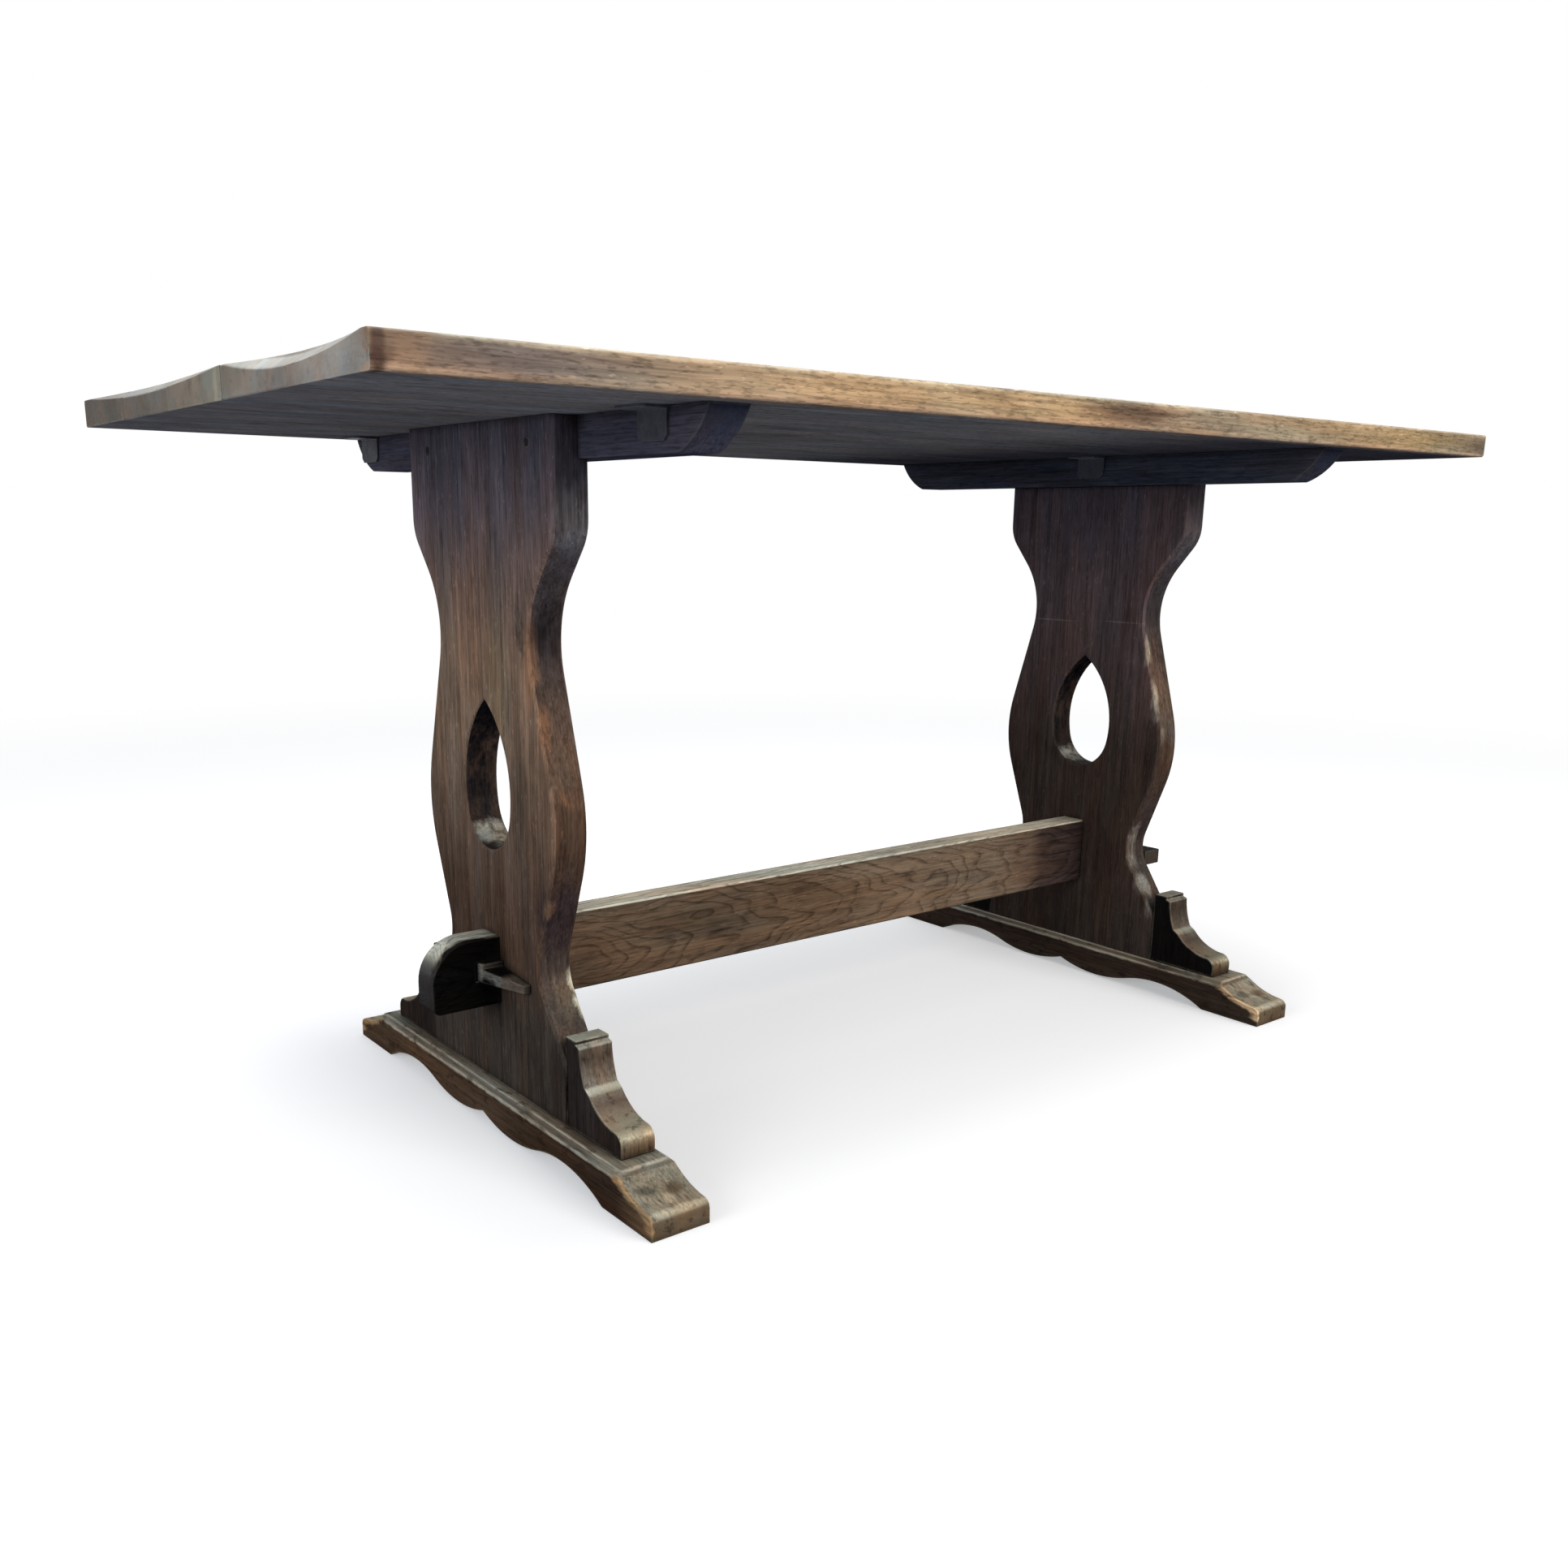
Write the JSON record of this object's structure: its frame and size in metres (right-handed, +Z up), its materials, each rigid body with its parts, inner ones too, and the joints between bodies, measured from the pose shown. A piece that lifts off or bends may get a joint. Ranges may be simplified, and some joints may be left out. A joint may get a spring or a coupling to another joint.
{
  "type": "refectory table",
  "caption": "Oak refectory table: planked top on pierced vase-shaped end slabs with sledge feet, joined by a keyed through-tenon stretcher.",
  "frame": {"origin": "on the floor, under the middle of the top", "axes": "+X along the table's length, +Y across it towards the back, +Z up; the picture looks from the front left, so its left end is -X"},
  "size_m": [1.52, 0.76, 0.76],
  "materials": {
    "top_oak": "waxed, worn",
    "frame_oak": "dark stained, worn",
    "steel": "dulled"
  },
  "bodies": {
    "table": {"top_plank_1": "top_oak", "top_plank_2": "top_oak", "top_plank_3": "top_oak", "top_plank_4": "top_oak", "top_plank_5": "top_oak", "plank_tongue_1": "top_oak", "plank_tongue_2": "top_oak", "plank_tongue_3": "top_oak", "plank_tongue_4": "top_oak", "stretcher": "frame_oak", "end_slab_left": "frame_oak", "sledge_foot_left": "frame_oak", "foot_bracket_left_front": "frame_oak", "foot_bracket_left_back": "frame_oak", "bracket_dowels_left": "frame_oak", "bearer_left": "frame_oak", "bearer_screws_left": "steel", "screw_plugs_left": "frame_oak", "angle_plate_left_front": "steel", "angle_plate_left_back": "steel", "angle_plate_left_middle": "steel", "plate_screws_left": "steel", "end_slab_right": "frame_oak", "sledge_foot_right": "frame_oak", "foot_bracket_right_front": "frame_oak", "foot_bracket_right_back": "frame_oak", "bracket_dowels_right": "frame_oak", "bearer_right": "frame_oak", "bearer_screws_right": "steel", "screw_plugs_right": "frame_oak", "angle_plate_right_front": "steel", "angle_plate_right_back": "steel", "angle_plate_right_middle": "steel", "plate_screws_right": "steel"},
    "key_left": {"tenon_key_left": "frame_oak"},
    "key_right": {"tenon_key_right": "frame_oak"}
  },
  "joints": [
    {"name": "key_left_slide", "type": "slide", "parent": "table", "child": "key_left", "axis": [0, 1, 0], "range_m": [0, 0.11]},
    {"name": "key_right_slide", "type": "slide", "parent": "table", "child": "key_right", "axis": [0, -1, 0], "range_m": [0, 0.11]}
  ]
}
